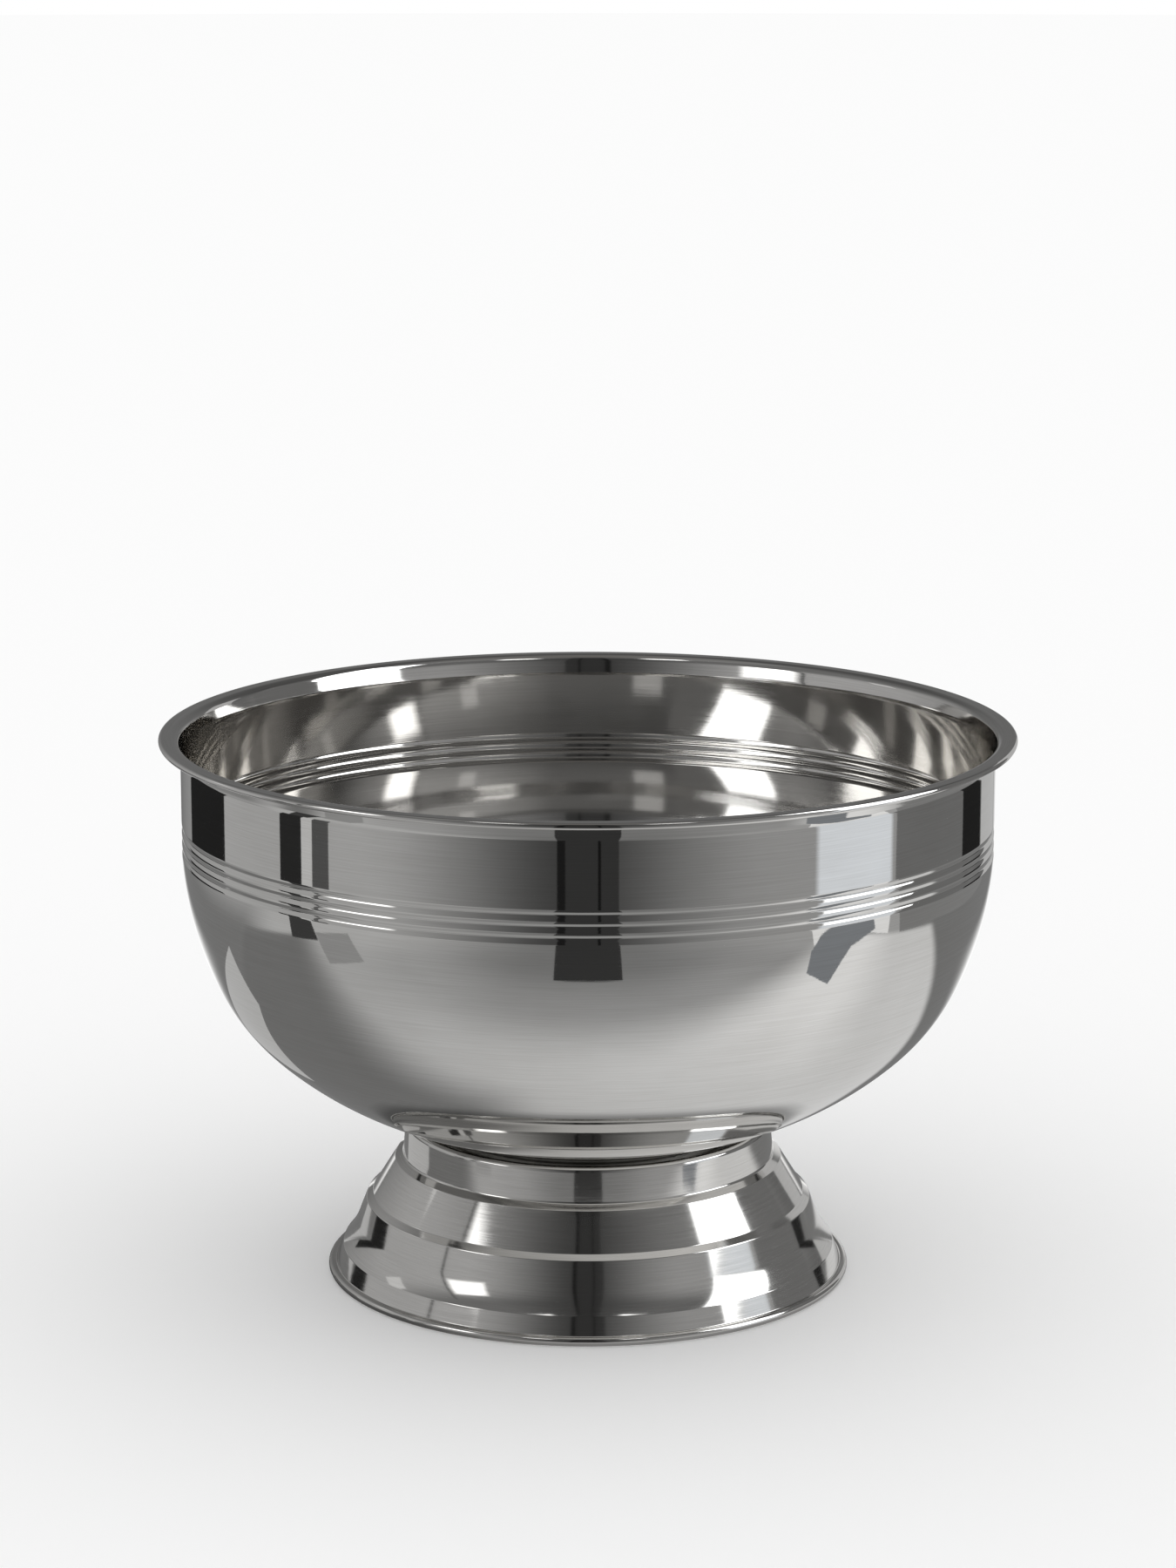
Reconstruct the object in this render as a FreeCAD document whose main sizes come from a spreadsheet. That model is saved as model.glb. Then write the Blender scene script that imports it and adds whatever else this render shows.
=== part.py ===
import FreeCAD, Part
import math
import os

import Sketcher

# A footed punch bowl in polished stainless steel. Two spun sheets make all that is seen: the bowl,
# with a flat lip and three rolled grooves, and the stepped foot, with a rolled bead at its base.
# A disc welded under the bowl carries a stud, which goes through the foot's closed top and is
# clamped inside the foot by a plate, two washers and a nut.
#
# Frame: +Z up, the axis of revolution is Z, and the foot rests on z = 0.

DIMENSIONS = {
    # Bowl: overall
    "rim_radius": 200.0,
    "rim_height": 260.2,
    "wall_radius": 189.9,
    "bowl_sheet": 0.9,
    # Bowl: the belly, from the flat bottom up to the grooves
    "bottom_bend_radius": 36.0,
    "bottom_bend_angle": 18.0,
    "low_belly_radius": 168.0,
    "low_belly_angle": 24.0,
    "mid_belly_radius": 98.0,
    "mid_belly_angle": 22.0,
    "high_belly_radius": 159.0,
    "high_belly_angle": 23.0,
    # Bowl: rolled grooves and the lands between them
    "groove_count": 3,
    "groove_bend_radius": 2.0,
    "land_radius": 5.7,
    "groove_slope": 19.6,
    # Bowl: slightly flared top, and a flat lip with a hemmed edge
    "flare_radius": 12.0,
    "flare_angle": 12.0,
    "flare_length": 4.4,
    "lip_bend_radius": 3.2,
    "hem_radius": 0.6,
    "hem_width": 2.4,
    # Foot: overall
    "foot_height": 73.4,
    "base_radius": 123.9,
    "foot_sheet": 0.9,
    "stud_hole_radius": 4.5,
    # Foot: walls and ledges, with their slopes below the horizontal
    "neck_corner_radius": 2.8,
    "neck_slope": 85.0,
    "upper_wall": 13.4,
    "upper_ledge": 3.4,
    "upper_ledge_slope": 31.0,
    "middle_wall_slope": 58.0,
    "lower_ledge": 3.4,
    "lower_ledge_slope": 39.0,
    "lower_wall": 11.6,
    "lower_wall_slope": 69.0,
    "skirt_radius": 36.0,
    "skirt_turn": 21.0,
    "band_wall": 8.4,
    "band_slope": 67.0,
    "inner_fillet": 1.5,
    "outer_fillet": 1.2,
    # Foot: rolled bead
    "throat_radius": 0.7,
    "bead_lift": 20.0,
    "bead_radius": 2.1,
    "rest_width": 1.2,
    "bead_tuck": 75.0,
    # Fastening
    "disc_radius": 70.0,
    "disc_thickness": 3.0,
    "disc_edge": 0.6,
    "stud_radius": 3.95,
    "stud_length": 18.0,
    "stud_tip": 1.0,
    "plate_radius": 30.0,
    "plate_thickness": 2.0,
    "plate_edge": 0.5,
    "fastener_hole_radius": 4.2,
    "washer_radius": 8.0,
    "washer_thickness": 1.6,
    "spring_radius": 7.0,
    "spring_thickness": 2.0,
    "spring_gap": 1.4,
    "nut_across_flats": 13.0,
    "nut_height": 6.5,
    "nut_bore_radius": 4.0,
    "nut_corner_cut": 0.6,
}

LEFT, RIGHT = 1, -1
START, END, CENTRE = 1, 2, 3
ORIGIN, VERTICAL_AXIS = -1, -2
CLOSE = 1e-3

doc = FreeCAD.newDocument("PunchBowl")
sheet = doc.addObject("Spreadsheet::Sheet", "Dims")
for row, (name, number) in enumerate(DIMENSIONS.items(), start=1):
    sheet.set(f"A{row}", name)
    sheet.set(f"B{row}", str(number))
    sheet.setAlias(f"B{row}", name)
doc.recompute()


# ---- Sketches whose sizes are formulas in the sheet's names ----

def value(formula):
    """What a formula in the sheet's names comes to."""
    return float(sheet.evalExpression(formula))


def bind(sketch, kind, target, formula):
    """Add a driving constraint of this kind, sized by a formula."""
    number = value(formula)
    if kind == "Angle":
        number = math.radians(number)
        formula = f"({formula}) * 1 deg"
    index = sketch.addConstraint(Sketcher.Constraint(kind, *target, number))
    sketch.setExpression(f"Constraints[{index}]", formula)


def join(sketch, kind, first, second):
    """Join two edge ends, each given as (edge, end)."""
    sketch.addConstraint(Sketcher.Constraint(kind, *first, *second))


def new_body(name, plane, height="0"):
    """An empty body at a height, with a first sketch on one of its own planes."""
    body = doc.addObject("PartDesign::Body", name)
    body.Label = name
    body.Placement = FreeCAD.Placement(FreeCAD.Vector(0, 0, value(height)), FreeCAD.Rotation())
    if height != "0":
        body.setExpression("Placement.Base.z", height)
    return body, new_sketch(body, plane, "Section")


def new_sketch(body, plane, name):
    """A sketch attached to one of the body's own origin planes."""
    sketch = body.newObject("Sketcher::SketchObject", body.Name + name)
    origin_plane = next(part for part in body.Origin.OriginFeatures if part.Role == plane)
    sketch.AttachmentSupport = (origin_plane, "")
    sketch.MapMode = "FlatFace"
    return sketch


def add_line(sketch, start, end):
    return sketch.addGeometry(Part.LineSegment(FreeCAD.Vector(*start, 0), FreeCAD.Vector(*end, 0)))


def add_polygon(sketch, corners):
    """A closed outline whose corners are pairs of formulas."""
    points = [(value(across), value(up)) for across, up in corners]
    edges = [add_line(sketch, start, end) for start, end in zip(points, points[1:] + points[:1])]
    for edge, following, (across, up) in zip(edges, edges[1:] + edges[:1], corners):
        join(sketch, "Coincident", (edge, END), (following, START))
        bind(sketch, "DistanceX", (ORIGIN, START, edge, START), across)
        bind(sketch, "DistanceY", (ORIGIN, START, edge, START), up)


def add_circle(sketch, radius):
    """A circle about the body's axis."""
    circle = Part.Circle(FreeCAD.Vector(0, 0, 0), FreeCAD.Vector(0, 0, 1), value(radius))
    index = sketch.addGeometry(circle)
    join(sketch, "Coincident", (index, CENTRE), (ORIGIN, START))
    bind(sketch, "Radius", (index,), radius)


def pad(body, sketch, length):
    feature = body.newObject("PartDesign::Pad", body.Name + "Pad")
    feature.Profile = sketch
    feature.setExpression("Length", length)
    doc.recompute()
    return feature


def revolve(body, sketch, kind="PartDesign::Revolution"):
    """Turn a section in the XZ plane right round the Z axis."""
    feature = body.newObject(kind, body.Name + kind.split("::")[1])
    feature.Profile = sketch
    feature.ReferenceAxis = (sketch, ["V_Axis"])
    feature.Angle = 360.0
    doc.recompute()
    return feature


# ---- Sections of spun sheet ----

def draw_line(sketch, point, heading, length):
    """A straight run. Gives the edge, its first and last ends, and where it stops."""
    stop = (point[0] + length * math.cos(heading), point[1] + length * math.sin(heading))
    return add_line(sketch, point, stop), START, END, stop


def draw_arc(sketch, point, heading, radius, angle, turn):
    """A run that turns left or right. Gives the same as draw_line."""
    centre_x = point[0] - turn * radius * math.sin(heading)
    centre_y = point[1] + turn * radius * math.cos(heading)
    first = heading - turn * math.pi / 2
    last = first + turn * angle
    stop = (centre_x + radius * math.cos(last), centre_y + radius * math.sin(last))
    circle = Part.Circle(FreeCAD.Vector(centre_x, centre_y, 0), FreeCAD.Vector(0, 0, 1), radius)
    edge = sketch.addGeometry(Part.ArcOfCircle(circle, min(first, last), max(first, last)))
    if turn == LEFT:
        return edge, START, END, stop
    return edge, END, START, stop


def draw_face(sketch, start, steps, grow):
    """Draw one face of a sheet as tangent runs, starting horizontally outwards.

    grow(turn) is what the sheet's thickness adds to the radius of a bend. Gives the edges that
    carry a name, and the two ends of the whole run.
    """
    point = (value(start[0]), value(start[1]))
    heading = 0.0
    named = {}
    run = []
    for kind, *sizes in steps:
        if kind == "arc":
            radius, angle, turn = sizes[:3]
            radius = radius + grow(turn)
            angle_now = math.radians(value(angle))
            edge, tail, tip, point = draw_arc(sketch, point, heading, value(radius), angle_now, turn)
            heading += turn * angle_now
            bind(sketch, "Radius", (edge,), radius)
            bind(sketch, "Angle", (edge,), angle)
            name = sizes[3] if len(sizes) > 3 else None
        elif kind == "line":
            edge, tail, tip, point = draw_line(sketch, point, heading, value(sizes[0]))
            bind(sketch, "Distance", (edge,), sizes[0])
            name = sizes[1] if len(sizes) > 1 else None
        else:
            name, near_length = sizes
            edge, tail, tip, point = draw_line(sketch, point, heading, near_length)
        if run:
            join(sketch, "Tangent", run[-1][1], (edge, tail))
        run.append(((edge, tail), (edge, tip), point))
        named[name] = edge
    first_edge, first_end = run[0][0]
    sketch.addConstraint(Sketcher.Constraint("Horizontal", first_edge))
    if start[0] == "0":
        join(sketch, "PointOnObject", (first_edge, first_end), (VERTICAL_AXIS,))
    else:
        bind(sketch, "DistanceX", (ORIGIN, START, first_edge, first_end), start[0])
    bind(sketch, "DistanceY", (ORIGIN, START, first_edge, first_end), start[1])
    return named, (run[0][0], (value(start[0]), value(start[1]))), run[-1][1:]


def close_ends(sketch, one, other):
    """Close a sheet's section with a short line between matching ends of its faces."""
    cap = add_line(sketch, one[1], other[1])
    join(sketch, "Coincident", (cap, START), one[0])
    join(sketch, "Coincident", (cap, END), other[0])


def check_solved(sketch):
    doc.recompute()
    if sketch.solve() != 0 or not sketch.FullyConstrained:
        raise RuntimeError(f"{sketch.Name} is not fully constrained")


# ---- The pieces ----

def make_bowl_shell():
    """The bowl: flat bottom, belly in arcs, grooved wall, slight flare, and a flat hemmed lip.

    The run is the outer face from the axis up to the hem; the inner face is on its left.
    """
    grooves = []
    for number in range(DIMENSIONS["groove_count"]):
        last = number == DIMENSIONS["groove_count"] - 1
        land_turn = "Dims.groove_slope" if last else "2 * Dims.groove_slope"
        grooves.append(("arc", "Dims.groove_bend_radius", "2 * Dims.groove_slope", RIGHT))
        grooves.append(("arc", "Dims.land_radius", land_turn, LEFT))
    belly_turn = "Dims.bottom_bend_angle + Dims.low_belly_angle + Dims.mid_belly_angle"
    steps = [
        ("fill", "bottom", 72.0),
        ("arc", "Dims.bottom_bend_radius", "Dims.bottom_bend_angle", LEFT),
        ("arc", "Dims.low_belly_radius", "Dims.low_belly_angle", LEFT),
        ("arc", "Dims.mid_belly_radius", "Dims.mid_belly_angle", LEFT),
        ("arc", "Dims.high_belly_radius", "Dims.high_belly_angle", LEFT),
        ("arc", "Dims.land_radius",
         f"90 + Dims.groove_slope - ({belly_turn} + Dims.high_belly_angle)", LEFT),
        *grooves,
        ("fill", "wall", 28.5),
        ("arc", "Dims.flare_radius", "Dims.flare_angle", RIGHT),
        ("line", "Dims.flare_length"),
        ("arc", "Dims.lip_bend_radius", "90 - Dims.flare_angle", RIGHT),
        ("fill", "lip", 4.5),
        ("arc", "Dims.hem_radius", "180", RIGHT, "hem"),
        ("line", "Dims.hem_width"),
    ]
    body, sketch = new_body("bowl_shell", "XZ_Plane")
    bottom = "Dims.foot_height + Dims.disc_thickness"
    faces = (
        ("", "Dims.rim_height - Dims.bowl_sheet", lambda turn: ""),
        (" - Dims.bowl_sheet", "Dims.rim_height",
         lambda turn: " - Dims.bowl_sheet" if turn == LEFT else " + Dims.bowl_sheet"),
    )
    ends = []
    for inset, lip_height, grow in faces:
        start = ("0", bottom + (" + Dims.bowl_sheet" if inset else ""))
        named, first, last = draw_face(sketch, start, steps, grow)
        bind(sketch, "DistanceX", (ORIGIN, START, named["wall"], START), "Dims.wall_radius" + inset)
        bind(sketch, "DistanceY", (ORIGIN, START, named["lip"], START), lip_height)
        bind(sketch, "DistanceX", (ORIGIN, START, named["hem"], CENTRE),
             "Dims.rim_radius - Dims.hem_radius - Dims.bowl_sheet")
        ends.append((first, last))
    close_ends(sketch, ends[0][0], ends[1][0])
    close_ends(sketch, ends[0][1], ends[1][1])
    check_solved(sketch)
    revolve(body, sketch)
    return body


def make_foot_shell():
    """The foot: closed top with a stud hole, three walls with two ledges, a flared skirt, a band
    and a bead rolled inwards, with a narrow flat to rest on.

    The run is the outer face from the stud hole down to the bead; the inner face is on its right.
    """
    steps = [
        ("fill", "top", 78.5),
        ("arc", "Dims.neck_corner_radius", "Dims.neck_slope", RIGHT),
        ("line", "Dims.upper_wall"),
        ("arc", "Dims.inner_fillet", "Dims.neck_slope - Dims.upper_ledge_slope", LEFT),
        ("line", "Dims.upper_ledge"),
        ("arc", "Dims.outer_fillet", "Dims.middle_wall_slope - Dims.upper_ledge_slope", RIGHT),
        ("fill", "middle_wall", 17.4),
        ("arc", "Dims.inner_fillet", "Dims.middle_wall_slope - Dims.lower_ledge_slope", LEFT),
        ("line", "Dims.lower_ledge"),
        ("arc", "Dims.outer_fillet", "Dims.lower_wall_slope - Dims.lower_ledge_slope", RIGHT),
        ("line", "Dims.lower_wall"),
        ("arc", "Dims.skirt_radius", "Dims.skirt_turn", LEFT),
        ("arc", "Dims.outer_fillet", "Dims.band_slope - (Dims.lower_wall_slope - Dims.skirt_turn)",
         RIGHT),
        ("line", "Dims.band_wall"),
        ("arc", "Dims.throat_radius", "Dims.band_slope + Dims.bead_lift", LEFT),
        ("arc", "Dims.bead_radius", "180 + Dims.bead_lift", RIGHT, "bead"),
        ("line", "Dims.rest_width", "rest"),
        ("arc", "Dims.bead_radius", "Dims.bead_tuck", RIGHT),
    ]
    body, sketch = new_body("foot_shell", "XZ_Plane")
    faces = (
        ("", "0", lambda turn: ""),
        (" - Dims.foot_sheet", "Dims.foot_sheet",
         lambda turn: " - Dims.foot_sheet" if turn == RIGHT else " + Dims.foot_sheet"),
    )
    ends = []
    for inset, rest_height, grow in faces:
        start = ("Dims.stud_hole_radius", "Dims.foot_height" + inset)
        named, first, last = draw_face(sketch, start, steps, grow)
        bind(sketch, "DistanceX", (ORIGIN, START, named["bead"], CENTRE),
             "Dims.base_radius - Dims.bead_radius")
        if inset:
            bind(sketch, "DistanceY", (ORIGIN, START, named["rest"], START), rest_height)
        else:
            join(sketch, "PointOnObject", (named["rest"], START), (ORIGIN,))
        ends.append((first, last))
    close_ends(sketch, ends[0][0], ends[1][0])
    close_ends(sketch, ends[0][1], ends[1][1])
    check_solved(sketch)
    revolve(body, sketch)
    return body


def make_ring(name, height, radius, thickness, hole=None, edge=None):
    """A flat round piece about the axis, standing on the height given."""
    body, sketch = new_body(name, "XY_Plane", height)
    add_circle(sketch, radius)
    if hole:
        add_circle(sketch, hole)
    check_solved(sketch)
    feature = pad(body, sketch, thickness)
    if edge:
        chamfer_rims(body, feature, radius, edge)
    return body


def chamfer_rims(body, feature, radius, edge, top=True):
    """Chamfer a round piece's lower outer edge, and the upper one too unless top is False."""
    names = []
    for number, rim in enumerate(feature.Shape.Edges, start=1):
        level = rim.BoundBox
        on_rim = abs(level.XMax - value(radius)) < CLOSE and level.ZLength < CLOSE
        if on_rim and (top or level.ZMin < CLOSE):
            names.append(f"Edge{number}")
    chamfer = body.newObject("PartDesign::Chamfer", body.Name + "Chamfer")
    chamfer.Base = (feature, names)
    chamfer.setExpression("Size", edge)
    body.Tip = chamfer
    doc.recompute()


def make_threaded_stud():
    """The stud, from the disc's underside down to its bevelled tip."""
    height = "Dims.foot_height - Dims.stud_length"
    body, sketch = new_body("threaded_stud", "XY_Plane", height)
    add_circle(sketch, "Dims.stud_radius")
    check_solved(sketch)
    feature = pad(body, sketch, "Dims.stud_length")
    chamfer_rims(body, feature, "Dims.stud_radius", "Dims.stud_tip", top=False)
    return body


def make_spring_washer(height):
    """A ring with one slit through it."""
    body = make_ring("spring_washer", height, "Dims.spring_radius", "Dims.spring_thickness",
                     hole="Dims.fastener_hole_radius")
    before = body.Shape.Volume
    slit = new_sketch(body, "XY_Plane", "Slit")
    half_gap = "Dims.spring_gap / 2"
    beyond = "Dims.spring_radius + 1"
    add_polygon(slit, [("0", f"-{half_gap}"), (beyond, f"-{half_gap}"), (beyond, half_gap),
                       ("0", half_gap)])
    check_solved(slit)
    cut = body.newObject("PartDesign::Pocket", "SpringSlit")
    cut.Profile = slit
    cut.Type = "ThroughAll"
    cut.Midplane = True
    doc.recompute()
    if body.Shape.Volume > before - 1:
        raise RuntimeError("the slit cut nothing")
    return body


def make_hex_nut(height):
    """A plain hexagon nut, bevelled at its corners on both faces."""
    body, sketch = new_body("hex_nut", "XY_Plane", height)
    flat = "Dims.nut_across_flats / 2"
    corner = f"{flat} / cos(30)"
    add_polygon(sketch, [(f"{corner} * cos({60 * side})", f"{corner} * sin({60 * side})")
                         for side in range(6)])
    add_circle(sketch, "Dims.nut_bore_radius")
    check_solved(sketch)
    pad(body, sketch, "Dims.nut_height")
    before = body.Shape.Volume
    bevel = new_sketch(body, "XZ_Plane", "Bevel")
    cut = "Dims.nut_corner_cut"
    add_polygon(bevel, [(flat, "0"), (corner, "0"), (corner, cut)])
    add_polygon(bevel, [(flat, "Dims.nut_height"), (corner, "Dims.nut_height"),
                        (corner, f"Dims.nut_height - {cut}")])
    check_solved(bevel)
    revolve(body, bevel, "PartDesign::Groove")
    if body.Shape.Volume >= before:
        raise RuntimeError("the bevel cut nothing")
    return body


def write(body):
    """Check one finished piece and write its STEP file."""
    shape = body.Shape
    if shape.isNull() or not shape.isValid() or len(shape.Solids) != 1:
        raise RuntimeError(f"{body.Label} is not one valid solid")
    shape.exportStep(f"parts/{body.Label}.step")
    box = shape.optimalBoundingBox()
    print(f"{body.Label}: volume {shape.Volume:.0f} mm3, radius {box.XMax:.2f},"
          f" z {box.ZMin:.2f} to {box.ZMax:.2f}")


plate_height = "Dims.foot_height - Dims.foot_sheet - Dims.plate_thickness"
washer_height = f"{plate_height} - Dims.washer_thickness"
spring_height = f"{washer_height} - Dims.spring_thickness"
nut_height = f"{spring_height} - Dims.nut_height"

pieces = [
    make_bowl_shell(),
    make_foot_shell(),
    make_ring("mounting_disc", "Dims.foot_height", "Dims.disc_radius", "Dims.disc_thickness",
              edge="Dims.disc_edge"),
    make_threaded_stud(),
    make_ring("clamp_plate", plate_height, "Dims.plate_radius", "Dims.plate_thickness",
              hole="Dims.fastener_hole_radius", edge="Dims.plate_edge"),
    make_ring("flat_washer", washer_height, "Dims.washer_radius", "Dims.washer_thickness",
              hole="Dims.fastener_hole_radius"),
    make_spring_washer(spring_height),
    make_hex_nut(nut_height),
]
doc.recompute()
for item in doc.Objects:
    if "Invalid" in item.State or "Error" in item.State:
        raise RuntimeError(f"{item.Name} failed: {item.State}")
os.makedirs("parts", exist_ok=True)
for piece in pieces:
    write(piece)
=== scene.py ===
import math

import bpy
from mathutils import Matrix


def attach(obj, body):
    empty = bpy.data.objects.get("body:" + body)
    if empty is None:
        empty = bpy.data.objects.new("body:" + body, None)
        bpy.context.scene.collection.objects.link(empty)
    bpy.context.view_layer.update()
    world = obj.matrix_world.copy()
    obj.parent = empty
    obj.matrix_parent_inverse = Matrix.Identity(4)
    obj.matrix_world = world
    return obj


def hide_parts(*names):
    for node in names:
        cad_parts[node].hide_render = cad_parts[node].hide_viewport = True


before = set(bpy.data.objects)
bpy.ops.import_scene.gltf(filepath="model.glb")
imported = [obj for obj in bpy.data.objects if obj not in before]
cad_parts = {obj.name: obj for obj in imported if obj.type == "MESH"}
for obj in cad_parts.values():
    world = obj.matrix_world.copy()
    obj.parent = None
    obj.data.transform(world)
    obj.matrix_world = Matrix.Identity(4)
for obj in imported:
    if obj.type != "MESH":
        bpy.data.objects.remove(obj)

# A footed punch bowl in polished stainless steel, on a pale floor in a photographer's studio.
# The bowl and the foot are spun sheet, so both are swept round the Z axis from one section each.

MM = 0.001
LEFT, RIGHT = 1, -1  # the way a section bends
ON_AXIS = 0.001  # mm from the axis, within which a ring is a single point
SHEET = 0.9  # mm, the steel sheet of the bowl and the foot
ROUND = 288  # faces round the bowl and the foot
SHARP_EDGE = math.radians(35)
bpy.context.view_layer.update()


# ---- Camera ----

# a long lens about 2 m away, looking down on the bowl by 12 degrees
camera = bpy.data.objects.new("camera", bpy.data.cameras.new("camera"))
camera.location = (0.0, -2.0376, 0.6762)
camera.rotation_euler = (math.radians(77.76), 0.0, 0.0)
camera.data.lens = 102.2
camera.data.sensor_width = 36.0
camera.data.clip_end = 100.0
bpy.context.scene.collection.objects.link(camera)
bpy.context.scene.camera = camera


# ---- Meshes ----

def add_mesh(name, points, faces, smooth=True):
    mesh = bpy.data.meshes.new(name)
    mesh.from_pydata(points, [], faces)
    mesh.validate()
    mesh.polygons.foreach_set("use_smooth", [smooth] * len(mesh.polygons))
    thing = bpy.data.objects.new(name, mesh)
    bpy.context.scene.collection.objects.link(thing)
    return thing


LINE_STEP = 12  # mm between samples on a line
BEND_STEP = 2.5  # mm between samples on a bend
BEND_TURN = 7  # degrees between samples on a bend


def trace(start, steps):
    """Sample a chain of tangent lines and bends, given in mm as ("line", length) or
    ("bend", radius, degrees, turn). Gives (radius, height, heading, distance run) tuples."""
    x, z = start
    heading = run = 0.0
    samples = [(x, z, heading, run)]
    for kind, size, *bend in steps:
        if kind == "line":
            pieces = max(1, math.ceil(size / LINE_STEP))
            for _ in range(pieces):
                x += size / pieces * math.cos(heading)
                z += size / pieces * math.sin(heading)
                run += size / pieces
                samples.append((x, z, heading, run))
        else:
            angle = math.radians(bend[0])
            turn = bend[1]
            pieces = max(3, math.ceil(bend[0] / BEND_TURN), math.ceil(size * angle / BEND_STEP))
            centre_x = x - turn * size * math.sin(heading)
            centre_z = z + turn * size * math.cos(heading)
            for _ in range(pieces):
                heading += turn * angle / pieces
                run += size * angle / pieces
                x = centre_x + turn * size * math.sin(heading)
                z = centre_z - turn * size * math.cos(heading)
                samples.append((x, z, heading, run))
    return samples


def spin(name, rings, loop, segments, slots=None):
    """Sweep rings of (radius, height, normal, run) in mm round Z; a ring on the axis is one point.

    slots gives the material slot of each band of faces. Rings with no normal meet in sharp edges.
    """
    points = []
    normals = []
    runs = []
    firsts = []
    for x, z, normal, run in rings:
        wide = x > ON_AXIS
        firsts.append((len(points), int(wide)))
        for step in range(segments if wide else 1):
            angle = 2 * math.pi * step / segments
            side = (math.cos(angle), math.sin(angle))
            points.append((x * side[0] * MM, x * side[1] * MM, z * MM))
            if normal:
                normals.append((normal[0] * side[0], normal[0] * side[1], normal[1]))
            runs.append(run * MM)
    faces = []
    face_slots = []
    for ring in range(len(rings) if loop else len(rings) - 1):
        low, low_wide = firsts[ring]
        high, high_wide = firsts[(ring + 1) % len(rings)]
        for step in range(segments):
            across = (step + 1) % segments
            face = [low + step * low_wide, low + across * low_wide,
                    high + across * high_wide, high + step * high_wide]
            faces.append(list(dict.fromkeys(face)))
            face_slots.append(slots[ring] if slots else 0)
    mesh = bpy.data.meshes.new(name)
    mesh.from_pydata(points, [], faces)
    mesh.polygons.foreach_set("use_smooth", [True] * len(faces))
    mesh.polygons.foreach_set("material_index", face_slots)
    mesh.attributes.new("run", "FLOAT", "POINT").data.foreach_set("value", runs)
    if normals:
        mesh.normals_split_custom_set_from_vertices(normals)
    else:
        mesh.set_sharp_from_angle(angle=SHARP_EDGE)
    thing = bpy.data.objects.new(name, mesh)
    bpy.context.scene.collection.objects.link(thing)
    return thing


def spin_sheet(name, samples, thickness, inner_side):
    """Sweep a sheet round Z: the sampled face in slot 0, and the other, on its inner side, in 1."""
    rings = []
    for x, z, heading, run in samples:
        out = (inner_side * math.sin(heading), -inner_side * math.cos(heading))
        rings.append((x, z, out, run))
    for x, z, heading, run in reversed(samples):
        inward = (-inner_side * math.sin(heading), inner_side * math.cos(heading))
        rings.append((x + thickness * inward[0], z + thickness * inward[1], inward, run))
    slots = [0] * len(samples) + [1] * len(samples)
    if inner_side == RIGHT:
        rings.reverse()
        slots.reverse()
    return spin(name, rings, samples[0][0] > ON_AXIS, ROUND, slots)


def turned(name, outline, segments=96):
    """A turned part, its outline going counter-clockwise in (radius, height) mm."""
    rings = [(x, z, None, x + z) for x, z in outline]
    return spin(name, rings, outline[0][0] > ON_AXIS, segments)


def ring_outline(inner, outer, low, high, edge):
    """The section of a ring with bevelled edges, or of a disc if inner is 0."""
    outside = [(outer - edge, low), (outer, low + edge), (outer, high - edge), (outer - edge, high)]
    if inner < ON_AXIS:
        return [(0.0, low), *outside, (0.0, high)]
    small = min(edge, 0.2)
    return [(inner, low + small), (inner + small, low), *outside, (inner + small, high),
            (inner, high - small)]


def grid(name, rows, columns, place, wrap, loop):
    """A closed skin of rows and columns; place(row, column) gives each point in mm. The columns
    wrap round or are capped, and the rows loop or are capped."""
    points = [tuple(MM * part for part in place(row, column))
              for row in range(rows) for column in range(columns)]
    faces = []
    for row in range(rows if loop else rows - 1):
        above = (row + 1) % rows
        for column in range(columns if wrap else columns - 1):
            across = (column + 1) % columns
            faces.append((row * columns + column, row * columns + across,
                          above * columns + across, above * columns + column))
    if not loop:
        faces.append(tuple(reversed(range(columns))))
        faces.append(tuple((rows - 1) * columns + column for column in range(columns)))
    if not wrap:
        faces.append(tuple(row * columns for row in range(rows)))
        faces.append(tuple(reversed([row * columns + columns - 1 for row in range(rows)])))
    thing = add_mesh(name, points, faces)
    thing.data.set_sharp_from_angle(angle=SHARP_EDGE)
    return thing


# ---- Bowl and foot ----

groove = [("bend", 2.0, 39.2, RIGHT), ("bend", 5.7, 39.2, LEFT)]
bowl_section = trace((0.0, 76.4), [
    ("line", 79.8876),
    ("bend", 36.0, 18.0, LEFT),
    ("bend", 168.0, 24.0, LEFT),
    ("bend", 98.0, 22.0, LEFT),
    ("bend", 159.0, 23.0, LEFT),
    ("bend", 5.7, 22.6, LEFT),
    *groove,
    *groove,
    ("bend", 2.0, 39.2, RIGHT),
    ("bend", 5.7, 19.6, LEFT),
    ("line", 29.8318),
    ("bend", 12.0, 12.0, RIGHT),
    ("line", 4.4),
    ("bend", 3.2, 78.0, RIGHT),
    ("line", 4.2929),
    ("bend", 0.6, 180.0, RIGHT),
    ("line", 2.4),
])
bowl = spin_sheet("bowl_spun", bowl_section, SHEET, LEFT)

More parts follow.
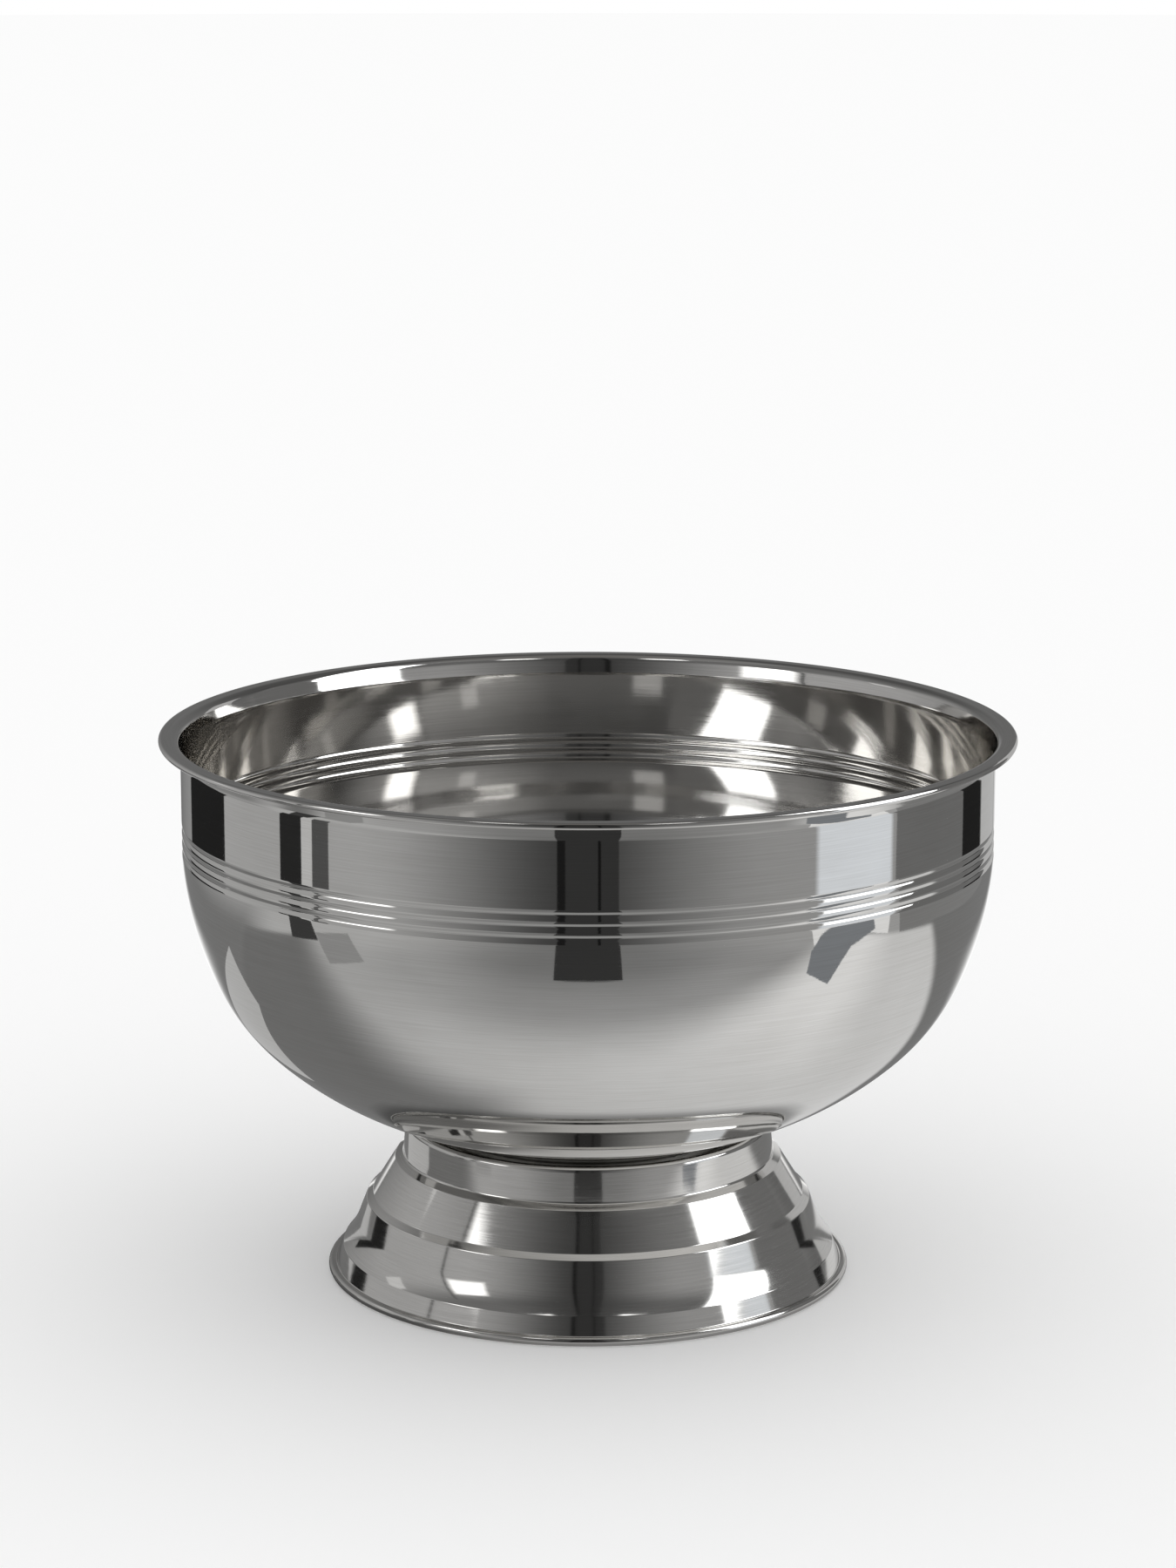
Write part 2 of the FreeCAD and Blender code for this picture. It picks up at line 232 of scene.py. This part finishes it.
foot_section = trace((4.5, 73.4), [
    ("line", 79.4626),
    ("bend", 2.8, 85.0, RIGHT),
    ("line", 13.4),
    ("bend", 1.5, 54.0, LEFT),
    ("line", 3.4),
    ("bend", 1.2, 27.0, RIGHT),
    ("line", 19.6241),
    ("bend", 1.5, 19.0, LEFT),
    ("line", 3.4),
    ("bend", 1.2, 30.0, RIGHT),
    ("line", 11.6),
    ("bend", 36.0, 21.0, LEFT),
    ("bend", 1.2, 19.0, RIGHT),
    ("line", 8.4),
    ("bend", 0.7, 87.0, LEFT),
    ("bend", 2.1, 200.0, RIGHT),
    ("line", 1.2),
    ("bend", 2.1, 75.0, RIGHT),
])
foot = spin_sheet("foot_spun", foot_section, SHEET, RIGHT)


# ---- Fastening under the bowl ----

disc = turned("mounting_disc_turned", ring_outline(0.0, 70.0, 73.4, 76.4, 0.6), 180)
plate = turned("clamp_plate_turned", ring_outline(4.2, 30.0, 70.5, 72.5, 0.5))
washer = turned("flat_washer_turned", ring_outline(4.2, 8.0, 68.9, 70.5, 0.2))


STUD_END = 55.4
STUD_LENGTH = 18.0
STUD_ROWS = 144
STUD_COLUMNS = 48
THREAD_PITCH = 1.25


def stud_point(row, column):
    """An M8 thread, tapering over the last millimetre of the stud."""
    height = STUD_END + STUD_LENGTH * row / STUD_ROWS
    turn = column / STUD_COLUMNS
    phase = (height / THREAD_PITCH - turn) % 1.0
    crest = min(1.0, 1.6 * abs(2 * phase - 1) + 0.05)
    radius = min(3.25 + 0.7 * crest, 2.95 + height - STUD_END)
    return radius * math.cos(2 * math.pi * turn), radius * math.sin(2 * math.pi * turn), height


stud = grid("stud_threaded", STUD_ROWS + 1, STUD_COLUMNS, stud_point, wrap=True, loop=False)

FLAT = 6.5  # mm from the axis to the nut's flats
CORNER = FLAT / math.cos(math.radians(30))
NUT_COLUMNS = 96


def nut_point(row, column):
    """A hexagon nut: bevelled bore, flat faces, and bevels that cut deepest at the corners."""
    angle = 2 * math.pi * column / NUT_COLUMNS
    side = FLAT / math.cos((angle + math.pi / 6) % (math.pi / 3) - math.pi / 6)
    bevel = 0.6 * (side - FLAT) / (CORNER - FLAT)
    radius, height = ((4.0, 60.9), (4.5, 60.4), (FLAT - 0.15, 60.4), (side, 60.4 + bevel),
                      (side, 66.9 - bevel), (FLAT - 0.15, 66.9), (4.5, 66.9), (4.0, 66.4))[row]
    return radius * math.cos(angle), radius * math.sin(angle), height


nut = grid("hex_nut_cut", 8, NUT_COLUMNS, nut_point, wrap=True, loop=True)
HALF_SLIT = 0.7
SPRING_STEPS = 72

def spring_point(row, column):
    """A ring with a slit, its corners bevelled."""
    radius, height = ((4.2, 67.1), (4.4, 66.9), (6.8, 66.9), (7.0, 67.1),
                      (7.0, 68.7), (6.8, 68.9), (4.4, 68.9), (4.2, 68.7))[row]
    half_slit = math.asin(HALF_SLIT / radius)
    angle = half_slit + (2 * math.pi - 2 * half_slit) * column / SPRING_STEPS
    return radius * math.cos(angle), radius * math.sin(angle), height


spring = grid("spring_washer_split", 8, SPRING_STEPS + 1, spring_point, wrap=False, loop=True)

for thing, node, slot in ((bowl, "bowl_shell", "polished_steel"),
                          (foot, "foot_shell", "polished_steel"),
                          (disc, "mounting_disc", "plate_steel"),
                          (plate, "clamp_plate", "plate_steel"),
                          (stud, "threaded_stud", "fastener_steel"),
                          (washer, "flat_washer", "fastener_steel"),
                          (spring, "spring_washer", "fastener_steel"),
                          (nut, "hex_nut", "fastener_steel")):
    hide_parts(node)
    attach(thing, "root")


# ---- Materials ----

def new_material(name):
    material = bpy.data.materials.new(name)
    material.use_nodes = True
    tree = material.node_tree
    return material, tree.nodes, tree.links, tree.nodes["Principled BSDF"]


def math_node(tree, operation, first, second=None):
    node = tree.nodes.new("ShaderNodeMath")
    node.operation = operation
    for socket, given in zip(node.inputs, (first, second)):
        if given is None:
            continue
        if isinstance(given, (int, float)):
            socket.default_value = given
        else:
            tree.links.new(given, socket)
    return node.outputs[0]


def noise_node(tree, vector, scale, detail=2.0, roughness=0.5):
    node = tree.nodes.new("ShaderNodeTexNoise")
    node.inputs["Scale"].default_value = scale
    node.inputs["Detail"].default_value = detail
    node.inputs["Roughness"].default_value = roughness
    tree.links.new(vector, node.inputs["Vector"])
    return node.outputs["Fac"]


def spread(tree, given, low, high, to_low, to_high):
    node = tree.nodes.new("ShaderNodeMapRange")
    node.inputs["From Min"].default_value = low
    node.inputs["From Max"].default_value = high
    node.inputs["To Min"].default_value = to_low
    node.inputs["To Max"].default_value = to_high
    tree.links.new(given, node.inputs["Value"])
    return node.outputs["Result"]


def around(tree, along, turn_scale, run_scale):
    """A vector that changes slowly round the axis and quickly along the section."""
    place = tree.nodes.new("ShaderNodeTexCoord").outputs["Object"]
    split = tree.nodes.new("ShaderNodeSeparateXYZ")
    tree.links.new(place, split.inputs[0])
    squares = math_node(tree, "ADD", math_node(tree, "MULTIPLY", split.outputs[0], split.outputs[0]),
                        math_node(tree, "MULTIPLY", split.outputs[1], split.outputs[1]))
    radius = math_node(tree, "MAXIMUM", math_node(tree, "SQRT", squares), 0.001)
    joined = tree.nodes.new("ShaderNodeCombineXYZ")
    for index in (0, 1):
        part = math_node(tree, "DIVIDE", split.outputs[index], radius)
        tree.links.new(math_node(tree, "MULTIPLY", part, turn_scale), joined.inputs[index])
    tree.links.new(math_node(tree, "MULTIPLY", along, run_scale), joined.inputs[2])
    return joined.outputs[0]


def bump(tree, height, distance, before=None):
    node = tree.nodes.new("ShaderNodeBump")
    node.inputs["Distance"].default_value = distance
    tree.links.new(height, node.inputs["Height"])
    if before:
        tree.links.new(before, node.inputs["Normal"])
    return node.outputs["Normal"]


def polished_steel(name, dark, bright, smooth, rough, line_depth, ripple_depth):
    """Spun and buffed steel: hairlines round the axis, a slow ripple from spinning, smudges."""
    material, made, links, shader = new_material(name)
    tree = material.node_tree
    along = made.new("ShaderNodeAttribute")
    along.attribute_name = "run"
    along = along.outputs["Fac"]
    place = made.new("ShaderNodeTexCoord").outputs["Object"]
    fine = noise_node(tree, around(tree, along, 4.0, 1600.0), 1.0, 3.0, 0.7)
    broad = noise_node(tree, around(tree, along, 1.6, 260.0), 1.0, 2.0, 0.6)
    ripple = noise_node(tree, place, 26.0, 1.0, 0.4)
    smudge = noise_node(tree, place, 9.0, 4.0, 0.6)
    grit = noise_node(tree, place, 900.0, 2.0, 0.6)
    # colour: slightly duller in the hairlines and under the smudges
    tone = math_node(tree, "ADD", math_node(tree, "MULTIPLY", fine, 0.5),
                     math_node(tree, "MULTIPLY", smudge, 0.5))
    colour = made.new("ShaderNodeMix")
    colour.data_type = "RGBA"
    colour.inputs["A"].default_value = (*dark, 1.0)
    colour.inputs["B"].default_value = (*bright, 1.0)
    links.new(spread(tree, tone, 0.35, 0.65, 0.0, 1.0), colour.inputs["Factor"])
    links.new(colour.outputs["Result"], shader.inputs["Base Color"])
    # roughness
    haze = math_node(tree, "ADD", math_node(tree, "MULTIPLY", smudge, 0.6),
                     math_node(tree, "MULTIPLY", fine, 0.4))
    links.new(spread(tree, haze, 0.3, 0.7, smooth, rough), shader.inputs["Roughness"])
    shader.inputs["Metallic"].default_value = 1.0
    # relief
    normal = bump(tree, ripple, ripple_depth)
    normal = bump(tree, broad, line_depth * 2, normal)
    normal = bump(tree, fine, line_depth, normal)
    normal = bump(tree, spread(tree, grit, 0.72, 0.8, 0.0, -1.0), line_depth, normal)
    links.new(normal, shader.inputs["Normal"])
    return material


outside_steel = polished_steel("polished_steel", (0.68, 0.67, 0.65), (0.80, 0.795, 0.78),
                               0.012, 0.05, 2.6e-6, 3.0e-5)
inside_steel = polished_steel("bowl_inside_steel", (0.66, 0.65, 0.63), (0.80, 0.79, 0.775),
                              0.03, 0.09, 3.0e-6, 4.5e-5)
foot_steel = polished_steel("foot_steel", (0.66, 0.65, 0.63), (0.78, 0.77, 0.75),
                            0.04, 0.12, 4.0e-6, 4.0e-5)
underside_steel = polished_steel("foot_inside_steel", (0.42, 0.42, 0.41), (0.55, 0.55, 0.54),
                                 0.22, 0.42, 6.0e-6, 3.0e-5)
bowl.data.materials.append(outside_steel)
bowl.data.materials.append(inside_steel)
foot.data.materials.append(foot_steel)
foot.data.materials.append(underside_steel)


def machined_steel(name, dull, bright, rough, ring_scale):
    """Turned steel: fine rings left by the tool, and slightly darker patches."""
    material, made, links, shader = new_material(name)
    tree = material.node_tree
    place = made.new("ShaderNodeTexCoord").outputs["Object"]
    length = made.new("ShaderNodeVectorMath")
    length.operation = "LENGTH"
    links.new(place, length.inputs[0])
    rings = noise_node(tree, around(tree, length.outputs["Value"], 0.8, ring_scale), 1.0, 3.0, 0.6)
    patches = noise_node(tree, place, 70.0, 4.0, 0.6)
    tone = made.new("ShaderNodeMix")
    tone.data_type = "RGBA"
    tone.inputs["A"].default_value = (*dull, 1.0)
    tone.inputs["B"].default_value = (*bright, 1.0)
    links.new(spread(tree, patches, 0.3, 0.7, 0.0, 1.0), tone.inputs["Factor"])
    links.new(tone.outputs["Result"], shader.inputs["Base Color"])
    links.new(spread(tree, rings, 0.3, 0.7, rough - 0.08, rough + 0.1), shader.inputs["Roughness"])
    shader.inputs["Metallic"].default_value = 1.0
    normal = bump(tree, patches, 1.5e-5)
    links.new(bump(tree, rings, 6.0e-6, normal), shader.inputs["Normal"])
    return material


plate_steel = machined_steel("plate_steel", (0.36, 0.36, 0.35), (0.52, 0.52, 0.51), 0.36, 2200.0)
fastener_steel = machined_steel("fastener_steel", (0.44, 0.44, 0.43), (0.60, 0.60, 0.59), 0.26, 5000.0)
for thing in (disc, plate):
    thing.data.materials.append(plate_steel)
for thing in (stud, washer, spring, nut):
    thing.data.materials.append(fastener_steel)


# ---- Studio ----

# The studio's walls, table, reflectors and cloths are glowing sheets seen only in the metal, with the
# light and shade that falls on them painted into their glow. Only the softboxes stand for lamps.
def glow_material(name):
    """Shines as bright as the mesh's "glow" attribute says."""
    material = bpy.data.materials.new(name)
    material.use_nodes = True
    tree = material.node_tree
    tree.nodes.clear()
    glow = tree.nodes.new("ShaderNodeAttribute")
    glow.attribute_name = "glow"
    light = tree.nodes.new("ShaderNodeEmission")
    light.inputs["Strength"].default_value = 0.83
    tree.links.new(glow.outputs["Color"], light.inputs["Color"])
    ending = tree.nodes.new("ShaderNodeOutputMaterial")
    tree.links.new(light.outputs[0], ending.inputs["Surface"])
    material.cycles.emission_sampling = "NONE"
    return material


studio_glow = glow_material("studio_glow")
WALL_DISTANCE = 1.0
CARD_DISTANCE = 0.95


def reflected_only(thing):
    """Studio gear outside the picture: seen in the metal, but not by the camera."""
    thing.visible_camera = False
    thing.visible_diffuse = False
    thing.visible_shadow = False


def glowing(name, points, faces, glow):
    thing = add_mesh(name, points, faces)
    colours = []
    for value in glow:
        colours.extend((value, value, value, 1.0) if isinstance(value, float) else (*value, 1.0))
    thing.data.attributes.new("glow", "FLOAT_COLOR", "POINT").data.foreach_set("color", colours)
    thing.data.materials.append(studio_glow)
    reflected_only(thing)
    return thing


def ramp(value, low, high):
    """Rises smoothly from 0 at low to 1 at high."""
    t = min(1.0, max(0.0, (value - low) / (high - low)))
    return t * t * (3 - 2 * t)


def lobe(angle, centre, flat, soft):
    """1 within flat degrees of the centre, falling smoothly to 0 over soft degrees more."""
    away = abs((angle - centre + 180) % 360 - 180)
    return 1 - ramp(away, flat, flat + soft)


def around_at(azimuth, distance):
    """The place at this azimuth, 0 towards the camera and 90 to its right."""
    angle = math.radians(azimuth)
    return distance * math.sin(angle), -distance * math.cos(angle)


def wall_glow(azimuth, height):
    """The studio's walls: dark in front, lit from both sides, and dimmer towards the ceiling."""
    left = 0.44 * lobe(azimuth, -85, 25, 55)
    right = 0.34 * lobe(azimuth, 72, 22, 52)
    back = 0.12 * lobe(azimuth, 180, 30, 30)
    backdrop = 0.7 * lobe(azimuth, 165, 6, 10) * (1 - ramp(height, 0.15, 0.35))
    dim = 1 - 0.66 * ramp(height, 0.4, 1.0)
    return 0.07 + (left + right + back) * dim + backdrop + 0.08 * ramp(height, 1.8, 2.3)


def ground_glow(x, y):
    """The studio's table, its light and shade painted into its glow: a pale table round the foot, lit
    brighter on the right, a painted shadow of the bowl on the left, a painted contact shade round the
    foot, and a greyer floor beyond.
    """
    away = abs(x)
    far = 0.24 + (0.34 if x < 0 else 0.24) * ramp(away, 0.1, 0.62)
    far += 0.15 * (1 - ramp(away, 0.2, 0.45)) * (1 - ramp(-y, 0.34, 0.56))
    far *= 1 - 0.35 * ramp(-y, 0.7, 1.1)
    behind = 0.24 + 0.18 * ramp(-x, 0.55, 0.8)
    far += (behind - far) * ramp(y, -0.05, 0.15)
    far += 1.1 * (1 - ramp(away, 0.26, 0.42)) * ramp(y, 0.25, 0.5)
    # painted light and shade: the table's left is darker, in the bowl's shadow, and its right is lit
    # brighter
    left = 0.30 + 0.22 * ramp(-y, 0.1, 0.21)
    right = 0.82 + 0.22 * ramp(-y, 0.05, 0.18) * ramp(x, 0.05, 0.35)
    near = left + (right - left) * ramp(x, -0.40, 0.22)
    # painted shadow of the bowl, cast to the left of the foot
    shadow = (1 - ramp(x, -0.09, -0.02)) * ramp(x, -0.7, -0.55) * ramp(y, -0.21, -0.09)
    near += (0.22 - near) * shadow
    table = (1 - ramp(-y, 0.23, 0.37)) * (1 - ramp(y, 0.10, 0.14)) * (1 - ramp(away, 0.60, 0.64))
    level = far + (near - far) * table
    # painted contact shade: darker in a ring round the foot's base
    contact_shade = 1 - ramp(math.hypot(x, y), 0.122, 0.145)
    return level * (1 - 0.6 * contact_shade)


def make_surroundings():
    ring = 120
    levels = [-0.1 + 2.4 * row / 24 for row in range(25)]
    points = []
    glow = []
    for height in levels:
        for step in range(ring):
            azimuth = 360 * step / ring
            points.append((*around_at(azimuth, WALL_DISTANCE), height))
            glow.append(wall_glow(azimuth, height))
    faces = []
    for row in range(len(levels) - 1):
        for step in range(ring):
            across = (step + 1) % ring
            faces.append((row * ring + step, row * ring + across,
                          (row + 1) * ring + across, (row + 1) * ring + step))
    top = len(points)
    points.append((0.0, 0.0, 2.6))
    glow.append((0.2, 0.19, 0.18))
    for step in range(ring):
        faces.append(((len(levels) - 1) * ring + step, (len(levels) - 1) * ring + (step + 1) % ring,
                      top))
    glowing("studio_walls", points, faces, glow)


def make_ground():
    size = 320
    span = 2.4
    points = []
    glow = []
    for row in range(size + 1):
        for column in range(size + 1):
            x = span * (column / size - 0.5)
            y = span * (row / size - 0.5)
            points.append((x, y, 0.0002))
            glow.append(ground_glow(x, y))
    faces = [(row * (size + 1) + column, row * (size + 1) + column + 1,
              (row + 1) * (size + 1) + column + 1, (row + 1) * (size + 1) + column)
             for row in range(size) for column in range(size)]
    # a glowing sheet with the table's light and shade painted in, seen only in the metal
    glowing("studio_table_painted_light", points, faces, glow)


def card(name, low, high, level, distance=CARD_DISTANCE, soft=0.0):
    """An upright card. Its lower and upper edges are each (first azimuth, last azimuth, height).
    Over soft degrees more on every side, it fades to the brightness of the wall behind it."""
    corners = [(low[0], low[2]), (low[1], low[2]), (high[1], high[2]), (high[0], high[2])]
    points = [(*around_at(azimuth, distance), height) for azimuth, height in corners]
    faces = [(0, 1, 2, 3)]
    glow = [level] * 4
    if soft:
        rise = distance * math.radians(soft)
        for (azimuth, height), sideways, up in zip(corners, (-1, 1, 1, -1), (-1, -1, 1, 1)):
            azimuth += sideways * soft
            height += up * rise
            points.append((*around_at(azimuth, distance + 0.02), height))
            glow.append(wall_glow(azimuth, height))
        faces += [(side, 4 + side, 4 + (side + 1) % 4, (side + 1) % 4) for side in range(4)]
    glowing(name, points, faces, glow)


def flat_card(name, corners, level, height=0.001):
    """A card lying on the table, its corners given in mm."""
    points = [(x * MM, y * MM, height) for x, y in corners]
    glowing(name, points, [tuple(range(len(points)))], [level] * len(points))


make_surroundings()
make_ground()
# straight in front: the camera's stand
card("stand", (-7.5, 7.5, 0.0), (-7.0, 7.0, 2.2), 0.045)
card("stand_edge", (-7.5, -5.5, 0.0), (-7.0, -5.5, 2.2), 0.015, 0.945)
card("stand_pole", (2.4, 3.1, 0.0), (2.4, 3.1, 2.2), 0.01, 0.94)
flat_card("stand_base", [(-68, -482), (68, -482), (128, -970), (-128, -970)], 0.045)
# right: a big leaning softbox, a bright reflector under it, and dark cloth behind them
card("softbox_right", (62.0, 92.0, 0.30), (78.0, 124.0, 1.8), (3.4, 3.45, 3.5), 0.93, 2.0)
card("reflector_right", (60.5, 84.0, 0.0), (60.5, 84.0, 0.29), (0.93, 0.97, 1.02), 0.95, 1.5)
card("dark_right", (86.0, 119.0, 0.0), (92.0, 128.0, 0.9), 0.2)
card("black_right", (119.0, 133.0, 0.0), (119.0, 133.0, 0.075), 0.02, 0.94)
card("white_right", (134.0, 152.0, 0.0), (134.0, 152.0, 0.6), 0.6)
flat_card("bright_right", [(620, -90), (940, -90), (800, -510), (520, -335), (640, -190)], 1.05)
flat_card("dark_floor_right", [(620, -40), (940, -40), (900, 600), (560, 600), (640, 160)], 0.28)
flat_card("patch_right", [(362, -204), (450, -212), (540, -212), (664, -150), (800, -180),
                          (760, -340), (600, -350), (480, -322), (378, -272)],
          (0.27, 0.285, 0.305), 0.002)
# left: a black cloth, a white edge, a grey card, and a softbox high up
card("black_left", (-86.2, -78.3, 0.0), (-86.2, -78.3, 0.095), 0.03)
card("white_left", (-78.3, -74.5, 0.0), (-78.3, -74.5, 0.095), 0.68)
card("grey_left", (-74.5, -69.0, 0.0), (-74.5, -69.0, 0.095), 0.11)
card("edge_left", (-73.0, -71.5, 0.095), (-73.0, -71.5, 0.85), 0.15)
card("softbox_left", (-66.0, -54.0, 0.44), (-66.0, -55.0, 0.64), 3.2, soft=5.0)
card("softbox_high_left", (-39.0, -27.0, 1.65), (-41.0, -25.0, 1.95), 3.5, soft=4.0)
card("softbox_high_right", (25.0, 35.0, 1.65), (23.0, 37.0, 1.95), 3.5, soft=4.0)
card("white_high_left", (-110.0, -100.0, 0.42), (-110.0, -100.0, 0.62), 0.8)
card("black_back_left", (-138.0, -112.0, 0.0), (-138.0, -112.0, 0.075), 0.02)
flat_card("cloth_left", [(-940, -105), (-600, -105), (-580, -200), (-940, -215)], 0.06)
flat_card("grey_cloth_left", [(-640, -205), (-450, -195), (-430, -290), (-620, -330)], 0.36)
flat_card("white_cloth_left", [(-180, 88), (-330, 76), (-470, 190), (-220, 290)], 0.6)
flat_card("cloth_back_left", [(-1040, 480), (-800, 420), (-560, 760), (-700, 900)], 0.04)

# the floor, which the metal doesn't see: the studio's table is there in its place
floor_points = [(*around_at(360 * step / 96, 14.0), 0.0) for step in range(96)]
floor = add_mesh("floor", floor_points, [tuple(range(96))], smooth=False)
floor_material, _, _, shader = new_material("floor_paper")
shader.inputs["Base Color"].default_value = (0.97, 0.97, 0.97, 1.0)
shader.inputs["Roughness"].default_value = 0.9
shader.inputs["Specular IOR Level"].default_value = 0.0
floor.data.materials.append(floor_material)
floor.visible_glossy = False

# soft white light from all round, which the studio's walls keep from the metal
world = bpy.data.worlds.new("studio_air")
world.use_nodes = True
world.node_tree.nodes["Background"].inputs["Color"].default_value = (1.0, 1.0, 1.0, 1.0)
world.node_tree.nodes["Background"].inputs["Strength"].default_value = 1.0
bpy.context.scene.world = world
bpy.context.scene.view_settings.view_transform = "Standard"
# light goes round the inside of a polished bowl many times
bpy.context.scene.cycles.max_bounces = 18
bpy.context.scene.cycles.glossy_bounces = 18
